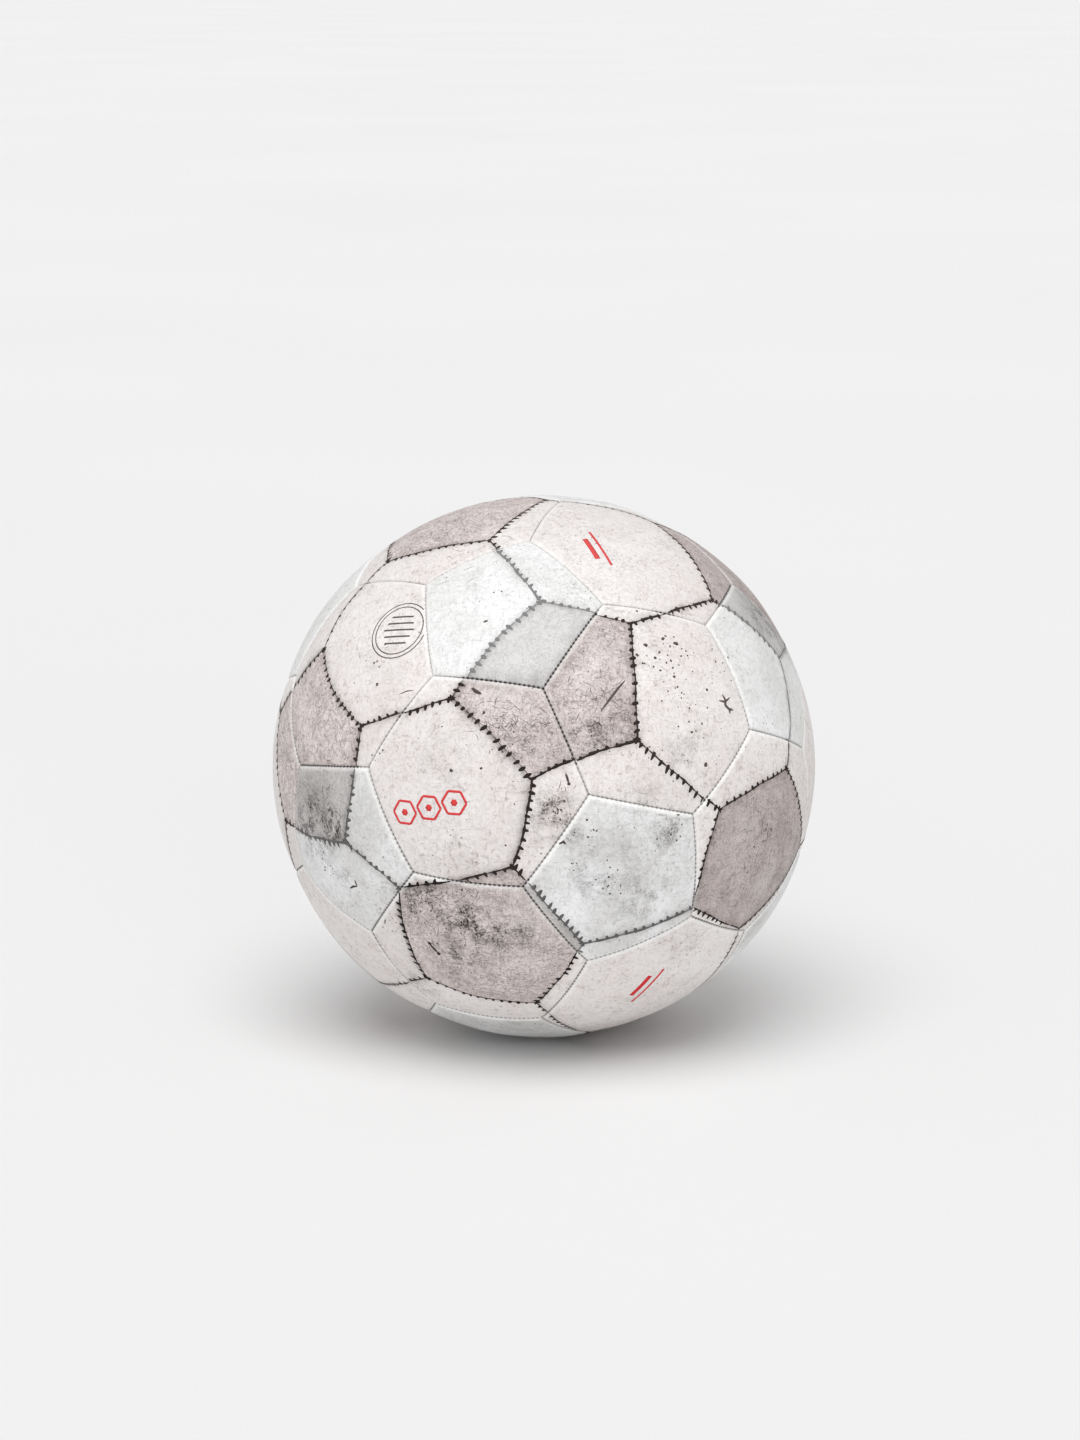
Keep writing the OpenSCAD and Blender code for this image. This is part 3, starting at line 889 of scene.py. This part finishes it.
class Graph:
    """A material's nodes, added one call at a time."""

    def __init__(self, name):
        self.material = bpy.data.materials.new(name)
        self.material.use_nodes = True
        self.tree = self.material.node_tree
        self.shader = self.tree.nodes["Principled BSDF"]
        self.coordinates = self.tree.nodes.new("ShaderNodeTexCoord").outputs["Object"]

    def plug(self, socket, value):
        if isinstance(value, bpy.types.NodeSocket):
            self.tree.links.new(value, socket)
        else:
            socket.default_value = value

    def node(self, kind, inputs, output=0, **settings):
        """One node's output, with its sockets set from numbers, colours or other outputs."""
        made = self.tree.nodes.new(kind)
        for name, value in settings.items():
            setattr(made, name, value)
        for name, value in inputs.items():
            self.plug(made.inputs[name], value)
        return made.outputs[output]

    def attribute(self, name):
        return self.node("ShaderNodeAttribute", {}, "Fac", attribute_name=name)

    def math(self, operation, a, b=0.0):
        return self.node("ShaderNodeMath", {0: a, 1: b}, operation=operation)

    def times(self, *values):
        product = values[0]
        for value in values[1:]:
            product = self.math("MULTIPLY", product, value)
        return product

    def span(self, value, low, high, new_low=0.0, new_high=1.0):
        """Value carried from low..high to a new span, clamped."""
        return self.node("ShaderNodeMapRange", {0: value, 1: low, 2: high, 3: new_low, 4: new_high})

    def mix(self, share, a, b):
        return self.node("ShaderNodeMix", {0: share, 6: a, 7: b}, 2, data_type="RGBA")

    def coats(self, colour, *coats):
        """A colour under several coats, each given as its share and its own colour."""
        for share, coat in coats:
            colour = self.mix(share, colour, coat)
        return colour

    def scaled(self, factors):
        return self.node("ShaderNodeMapping", {"Vector": self.coordinates, "Scale": factors})

    def noise(self, size, detail=3.0, rough=0.55, distortion=0.0, vector=None):
        """Cloudy noise with features of about the given size in mm."""
        return self.node("ShaderNodeTexNoise", {
            "Vector": vector or self.coordinates, "Scale": 1 / (size * MM), "Detail": detail,
            "Roughness": rough, "Distortion": distortion})

    def cells(self, size, feature="F1"):
        return self.node("ShaderNodeTexVoronoi", {
            "Vector": self.coordinates, "Scale": 1 / (size * MM)}, feature=feature)

    def lines(self, noise, width):
        """Thin curved lines, where the noise passes its middle."""
        return self.span(self.math("ABSOLUTE", self.math("SUBTRACT", noise, 0.5)), 0, width, 1, 0)

    def bump(self, height, depth, normal=None):
        inputs = {"Strength": 1.0, "Distance": depth * MM, "Height": height}
        if normal:
            inputs["Normal"] = normal
        return self.node("ShaderNodeBump", inputs)

    def finish(self, colour, roughness, normal, **sockets):
        sockets |= {"Base_Color": colour, "Roughness": roughness, "Normal": normal}
        for name, value in sockets.items():
            self.plug(self.shader.inputs[name.replace("_", " ")], value)
        return self.material


def cover_material(name, pale, shaded, hide_light, hide_dark, grime, ink, dirt, seam_shade):
    """Printed synthetic leather: pale hide, darker pentagons, stains, specks, scuffs, grain, a painted
    highlight on the lips and painted shade in the grooves.
    """
    g = Graph(name)
    zone, seam, near_print = g.attribute("print_zone"), g.attribute("seam"), g.attribute("print_seam")
    rubbed, fade = g.attribute("rubbed"), g.attribute("fade")
    cloud, patch, mottle = g.noise(26, 4), g.noise(9, 5, 0.62), g.noise(1.9, 6, 0.74)
    fine, speckle = g.noise(0.9, 4, 0.75), g.noise(1.5, 3, 0.6)
    fibres = g.math("MAXIMUM", g.noise(1.4, 3, 0.6, 0.3, g.scaled((0.22, 0.6, 1.5))),
                    g.noise(1.4, 3, 0.6, 0.3, g.scaled((1.5, 0.6, 0.22))))
    wrinkles = g.lines(g.noise(3.6, 5, 0.66, 1.2), 0.016)
    soil, tone, unfaded = g.attribute("soil"), g.attribute("print_tone"), g.span(fade, 0, 1, 1, 0.35)

    spots = g.times(g.span(speckle, 0.55, 0.64), g.span(patch, 0.42, 0.6, 0.06, 0.5), unfaded)
    plain = g.coats(
        pale,
        (g.span(cloud, 0.35, 0.68), shaded),
        (g.span(patch, 0.56, 0.8, 0, 0.35), grime),
        (g.times(g.span(fade, 0, 1, 1, 0), g.span(cloud, 0.3, 0.7, 0, dirt)), grime),
        (spots, grime),
        (g.span(fibres, 0.58, 0.7, 0, 0.3), grime))

    depth = g.math("ADD", g.span(patch, 0.34, 0.7, 0, 0.5), g.span(tone, -1, 1, 0, 0.5))
    brown = g.coats(
        hide_light,
        (depth, hide_dark),
        (g.span(mottle, 0.46, 0.6, 0, 0.5), hide_dark),
        (g.span(fibres, 0.56, 0.68, 0, 0.6), grime),
        (g.times(g.span(fine, 0.53, 0.6), g.span(cloud, 0.4, 0.6, 0.25, 0.6)), ink),
        (g.times(wrinkles, g.span(patch, 0.4, 0.58, 0.2, 0.85)), ink),
        (g.span(seam, 0, 5.5, seam_shade, 0), grime),
        (g.times(rubbed, g.span(mottle, 0.3, 0.7, 0.75, 1.0)), shaded),
        (g.times(fade, 0.85), rgb(225, 225, 225)))

    edge = g.math("ADD", zone, g.span(fine, 0.3, 0.7, -0.35, 0.35))
    beside_print = g.math("POWER", g.span(near_print, 0.3, 3.4, 1, 0), 2.2)
    halo = g.times(g.attribute("print_halo"), g.span(mottle, 0.35, 0.65, 0.35, 1.0))
    blot = g.times(g.attribute("stain"), g.span(g.noise(6.5, 5, 0.7, 0.4), 0.44, 0.58))
    dots = g.math("LESS_THAN", g.cells(2.1), g.span(g.noise(14, 3), 0.5, 0.78, 0.0, 0.2))
    # painted highlight on the lips beside the sewn seams, strongest where they turn to the light from above,
    # and partly the print worn paler at the edges
    lip = g.times(g.span(seam, 0.5, 2.4, 1, 0), g.attribute("lip"), g.span(zone, -0.3, 0.3, 0.9, 0.55))
    pull = g.span(g.attribute("stitch"), 0.3, 0.7, 0.15, 1)
    colour = g.coats(
        plain,
        (g.span(edge, -0.12, 0.12), brown),
        (g.times(g.attribute("shade"), g.span(mottle, 0.3, 0.7, 0.45, 0.75)), grime),
        (g.span(tone, -1, 1, 0, 0.08), grime),
        (g.times(beside_print, g.span(patch, 0.3, 0.7, 0.0, 0.7)), grime),
        (g.times(halo, g.span(fade, 0, 1, 1, 0.4)), ink),
        (g.times(blot, g.span(fine, 0.46, 0.54, 0.25, 0.85)), ink),
        (g.times(dots, g.span(mottle, 0.4, 0.6, 0.25, 0.8), unfaded), ink),
        # the lips painted nearly white: mostly a painted highlight
        (lip, rgb(255, 254, 253)),
        # painted shade down in the sewn seams' grooves, with dirt at the stitches where a seam is soiled
        (g.times(g.span(seam, 0.15, 0.65, 1, 0), g.math("ADD", g.times(soil, pull), 0.12)), ink))

    grain = g.math("ADD", g.times(g.cells(0.55, "SMOOTH_F1"), 0.6), g.noise(0.28, 3))
    normal = g.bump(grain, 0.035)
    normal = g.bump(g.noise(3.0, 4, 0.6), 0.14, normal)
    normal = g.bump(g.times(wrinkles, -1.0), 0.05, normal)
    roughness = g.span(mottle, 0.3, 0.7, 0.5, 0.64)
    return g.finish(colour, roughness, normal, Specular_IOR_Level=0.35)


HEXAGON_LOOK = dict(
    pale=rgb(243, 239, 237), shaded=rgb(234, 227, 225), hide_light=rgb(241, 230, 227),
    hide_dark=rgb(179, 166, 163), grime=rgb(164, 150, 145), ink=rgb(52, 43, 40), dirt=0.0, seam_shade=0.12)
PENTAGON_LOOK = dict(
    pale=rgb(246, 246, 247), shaded=rgb(235, 235, 233), hide_light=rgb(206, 200, 198),
    hide_dark=rgb(160, 153, 149), grime=rgb(150, 146, 142), ink=rgb(54, 50, 48), dirt=0.38, seam_shade=0.25)


def plain_material(name, light, dark, size, roughness, depth, **sockets):
    """A moulded or printed surface with cloudy colour and a fine grain."""
    g = Graph(name)
    colour = g.mix(g.span(g.noise(size, 4), 0.35, 0.65), light, dark)
    normal = g.bump(g.noise(size / 4, 4, 0.6), depth)
    rough = g.span(g.noise(size / 2, 3), 0.3, 0.7, roughness - 0.08, roughness + 0.08)
    return g.finish(colour, rough, normal, **sockets)


def ink_material(name, dark, faded):
    """Printing ink, worn through in places and paler where the panel's print has faded."""
    g = Graph(name)
    colour = g.mix(g.attribute("fade"), dark, faded)
    worn = g.span(g.noise(1.6, 5, 0.65), 0.54, 0.72, 0, 0.4)
    normal = g.bump(g.noise(0.4, 3), 0.02)
    return g.finish(g.mix(worn, colour, faded), 0.75, normal, Specular_IOR_Level=0.15)


def cloth_material(name, light, dark, pitch):
    """Woven cloth: threads that cross over and under each other."""
    g = Graph(name)
    bands = [g.node("ShaderNodeTexWave", {
        "Vector": g.coordinates, "Scale": 0.314 / (pitch * MM), "Distortion": 0.6}, "Fac",
        bands_direction=direction) for direction in "XYZ"]
    weave = g.math("MAXIMUM", g.times(bands[0], bands[1]), bands[2])
    colour = g.mix(weave, dark, light)
    colour = g.mix(g.span(g.noise(12, 4), 0.4, 0.7, 0, 0.3), colour, dark)
    return g.finish(colour, 0.9, g.bump(weave, 0.15), Specular_IOR_Level=0.2, Sheen_Weight=0.25)


def thread_material():
    """Waxed thread: twisted plies, grey where clean and dark where soiled by the print."""
    g = Graph("waxed_thread")
    twist = g.noise(0.3, 2, 0.5, 0.0, g.scaled((1.0, 2.4, 0.8)))
    clean = g.mix(g.span(g.noise(9, 4), 0.35, 0.65), rgb(206, 200, 196), rgb(160, 152, 147))
    soiled = g.mix(g.span(twist, 0.4, 0.7), rgb(40, 34, 32), rgb(62, 54, 50))
    colour = g.mix(g.attribute("soil"), clean, soiled)
    colour = g.mix(g.span(twist, 0.4, 0.7, 0, 0.35), colour, rgb(62, 55, 51))
    return g.finish(colour, 0.62, g.bump(twist, 0.06), Specular_IOR_Level=0.3, Sheen_Weight=0.1)


# ---- pieces
def add_covers(panels, art):
    """The 32 cover panels, each in place of its CAD panel."""
    materials = {"hexagon": cover_material("hexagon_leather", **HEXAGON_LOOK),
                 "pentagon": cover_material("pentagon_leather", **PENTAGON_LOOK)}
    stains = patches(STAINS) + [(centre, RNG.uniform(*BACK_STAIN_RADII), RNG.uniform(*BACK_STAIN_DEPTHS))
                                for centre in behind(BACK_STAINS)]
    places = {"stain": stains, "rubbed": patches(RUBBED), "shade": patches(SHADES)}
    layouts = {}
    for panel in panels:
        kind = (panel.sides, panel.reach, panel.has_valve)
        if kind not in layouts:
            layouts[kind] = panel_layout(*kind)
        x, y, heights, faces = layouts[kind]
        directions = panel.direction(x, y)
        heights = np.where(np.isnan(heights), panel.height(directions), heights)
        piece = add_piece(panel.node.replace("panel", "cover"), directions * heights[:, None], faces,
                          materials[panel.shape])
        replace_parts(piece, panel.node)
        look = art.describe(directions @ panel.slip)
        look |= {name: strongest(places[name], directions) for name in places}
        add_attributes(piece, seam=panel.seam_distance(directions), stitch=panel.stitch_pull(directions),
                       lip=panel.lip_light(directions), soil=soil_of(directions, look),
                       fade=np.full(len(directions), panel.fade * panel.is_pentagon), **look)


def add_ink(panels, art):
    """The printed seams, the wear drawn with them, and the plain marks."""
    for shape, material in (
            ("hexagon", ink_material("seam_print", rgb(26, 20, 19), rgb(58, 50, 48))),
            ("pentagon", ink_material("faded_seam_print", rgb(52, 48, 48), rgb(140, 139, 140)))):
        ink = Ink(panels)
        for panel in panels:
            if panel.shape == shape:
                for seam in art.seams:
                    print_seam(ink, panel, seam)
                for corner in art.corners.values():
                    print_knot(ink, panel, corner)
        ink.piece(f"printed_seams_on_{shape}s", material)
    for name, draw, material in (
            ("scuffs_and_specks", draw_wear, ink_material("scuff", rgb(46, 38, 36), rgb(110, 100, 96))),
            ("fine_creases", draw_creases, ink_material("crease", rgb(86, 74, 70), rgb(140, 128, 124))),
            ("red_marks", draw_red_marks, ink_material("red_print", rgb(214, 50, 54), rgb(226, 84, 84))),
            ("round_stamp", draw_stamp, ink_material("grey_print", rgb(62, 58, 57), rgb(104, 99, 97)))):
        ink = Ink(panels)
        draw(ink)
        ink.piece(name, material)


STITCH_DEPTH = 0.78  # how far a stitch's middle lies under the crown of the hexagon beside it
STITCH_UNEVEN = 0.05  # and how far that varies
STITCH_SLANT = 0.12  # how far a stitch leans out of its seam's line, as a slope
SLANT_SPREAD = (0.5, 1.5)  # and what that is multiplied by
STITCH_RING = 6  # points round a stitch
# Pairs of radius and place along: 0.6 mm thick and 1.3 mm long, with rounded ends
STITCH_PROFILE = ((0.0, -0.65), (0.217, -0.559), (0.31, -0.2925), (0.31, 0.2925), (0.217, 0.559), (0.0, 0.65))


def add_stitches(net, art):
    """Rows of stitches down in the grooves, in place of the CAD's seam threads."""
    material = thread_material()
    template, faces = lathe(STITCH_PROFILE, STITCH_RING, False)
    for shape in ("hexagon", "pentagon"):
        centres, points = [], []
        for start, end, one, hexagon in net.edges():
            if (one < PENTAGONS) != (shape == "pentagon"):
                continue
            a, b = net.corners[start], net.corners[end]
            middle, along = unit(a + b), unit(b - a)
            for k in range(1, SIDE_STITCHES):
                angle = (2 * k / SIDE_STITCHES - 1) * HALF_EDGE
                out = math.cos(angle) * middle + math.sin(angle) * along
                forward = math.cos(angle) * along - math.sin(angle) * middle
                slant = RNG.uniform(*SLANT_SPREAD) * STITCH_SLANT
                forward = unit(forward + slant * np.cross(out, forward))
                depth = STITCH_DEPTH - RNG.uniform(-STITCH_UNEVEN, STITCH_UNEVEN)
                height = crown_height(out @ net.cells[hexagon]) - depth
                points.append(out * height + template @ np.array([np.cross(out, forward), out, forward]))
                centres.append(out)
        starts = range(0, len(points) * len(template), len(template))
        all_faces = [[start + v for v in face] for start in starts for face in faces]
        piece = add_piece(shape + "_seam_stitches", np.vstack(points), all_faces, material)
        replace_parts(piece, shape + "_seam_thread")
        look = art.describe(np.array(centres))
        add_attributes(piece, soil=np.repeat(soil_of(np.array(centres), look), len(template)))


# Outlines of the valve's two parts: distances from its axis and, along it, from the ball's centre
STEM_PROFILE = ((2.6, 92.1), (2.6, 107.35), (3.45, 107.35), (3.45, 108.9), (3.55, 109.04), (3.75, 109.1),
                (3.95, 109.06), (4.12, 108.92), (4.2, 108.7), (4.2, 103.7), (5.7, 103.7), (5.92, 103.6),
                (6.0, 103.4), (6.0, 92.5), (5.88, 92.2), (5.6, 92.1))
CORE_PROFILE = ((0.0, 97.8), (1.05, 97.8), (1.05, 108.2), (1.15, 108.36), (1.35, 108.42), (1.9, 108.44),
                (2.3, 108.52), (2.5, 108.68), (2.75, 108.78), (3.05, 108.76), (3.28, 108.62), (3.4, 108.4),
                (3.4, 107.4), (2.55, 107.4), (2.55, 96.3), (2.4, 95.95), (2.1, 95.8), (0.0, 95.8))
LATHE_POINTS = 72


def add_valve(panels):
    """The valve's housing and its plug, about the axis of the panel that holds them."""
    panel = next(p for p in panels if p.has_valve)
    stem = plain_material("stem_rubber", rgb(58, 56, 57), rgb(40, 38, 39), 3, 0.55, 0.03)
    core = plain_material("core_rubber", rgb(44, 42, 43), rgb(30, 29, 30), 2, 0.45, 0.02)
    for name, profile, material, body, node in (
            ("valve_housing", STEM_PROFILE, stem, "ball", "valve_stem"),
            ("valve_plug_core", CORE_PROFILE, core, "valve_plug", "valve_core")):
        points, faces = lathe(profile, LATHE_POINTS, profile[0][0] > 0)
        points = points @ np.array([panel.e1, panel.e2, panel.axis])
        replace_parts(add_piece(name, points, faces, material, body), node)


def finish_inside():
    """Materials for the CAD parts that stay: the linings, the bladder and its patches."""
    cloth = cloth_material("lining_weave", rgb(226, 220, 204), rgb(176, 168, 150), 0.9)
    bladder = plain_material("bladder_butyl", rgb(52, 51, 53), rgb(34, 33, 35), 8, 0.5, 0.05)
    patch = plain_material("patch_rubber", rgb(74, 72, 74), rgb(52, 50, 52), 5, 0.6, 0.04)
    for names, material in ((("hexagon_linings", "pentagon_linings"), cloth), (("bladder",), bladder),
                            (("balance_patch", "valve_flange"), patch)):
        for name in names:
            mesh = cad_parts[name].data
            mesh.materials.clear()
            mesh.materials.append(material)


# ---- studio
CAMERA_UP = 12.0  # degrees above the horizon
CAMERA_AWAY = 1.573  # metres from the ball's centre
CAMERA_LENS = 96.8  # mm
CAMERA_SHIFT = (-0.0027, 0.0321)  # in shares of the frame
FLOOR_SIZE = 400.0  # metres
WORLD_LIGHT = 0.52  # how bright the sky is as a light
WORLD_SEEN = 0.87  # and as the camera sees it beyond the floor, where it is as pale as the floor
# Each light's strength, spread in degrees, and the direction it comes from
LIGHTS = (("key_light", 1.7, 46, (-0.06, -0.42, 0.9)), ("front_light", 0.5, 50, (0.1, -0.98, 0.15)))


def add_studio():
    camera_data = bpy.data.cameras.new("camera")
    camera_data.lens = CAMERA_LENS
    camera_data.shift_x, camera_data.shift_y = CAMERA_SHIFT
    camera_data.clip_end = 2 * FLOOR_SIZE
    camera = add_object("camera", camera_data)
    up = math.radians(CAMERA_UP)
    camera.location = (0, -CAMERA_AWAY * math.cos(up), CAMERA_AWAY * math.sin(up))
    camera.rotation_euler = (math.pi / 2 - up, 0, 0)
    bpy.context.scene.camera = camera

    half = FLOOR_SIZE / 2
    floor_mesh = bpy.data.meshes.new("floor")
    floor_mesh.from_pydata([(-half, -half, FLOOR_Z), (half, -half, FLOOR_Z), (half, half, FLOOR_Z),
                            (-half, half, FLOOR_Z)], [], [(0, 1, 2, 3)])
    g = Graph("floor_paint")
    paint = g.mix(g.span(g.noise(900, 2), 0.3, 0.7), rgb(236, 236, 236), rgb(238, 238, 238))
    floor_mesh.materials.append(g.finish(paint, 0.9, g.bump(g.noise(4, 3), 0.02), Specular_IOR_Level=0.0))
    add_object("floor", floor_mesh)

    world = bpy.data.worlds.new("studio")
    world.use_nodes = True
    nodes, links = world.node_tree.nodes, world.node_tree.links
    background = nodes["Background"]
    background.inputs["Color"].default_value = (1.0, 1.0, 1.0, 1.0)
    seen = nodes.new("ShaderNodeMapRange")
    seen.inputs["To Min"].default_value = WORLD_LIGHT
    seen.inputs["To Max"].default_value = WORLD_SEEN
    links.new(nodes.new("ShaderNodeLightPath").outputs["Is Camera Ray"], seen.inputs["Value"])
    links.new(seen.outputs["Result"], background.inputs["Strength"])
    bpy.context.scene.world = world

    for name, energy, spread_degrees, source in LIGHTS:
        light = bpy.data.lights.new(name, "SUN")
        light.energy = energy
        light.angle = math.radians(spread_degrees)
        add_object(name, light).rotation_euler = Vector(source).to_track_quat("Z", "Y").to_euler()

    bpy.context.scene.view_settings.view_transform = "Standard"


def main():
    node_axes = {name: unit(np.array(sum(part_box(name), Vector())))
                 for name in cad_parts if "_panel_" in name}
    net = Net(BALL_TURN)
    panels = [Panel(net, cell, node_axes) for cell in range(len(net.cells))]
    art = Artwork()
    add_covers(panels, art)
    add_ink(panels, art)
    add_stitches(net, art)
    add_valve(panels)
    finish_inside()
    add_studio()


main()
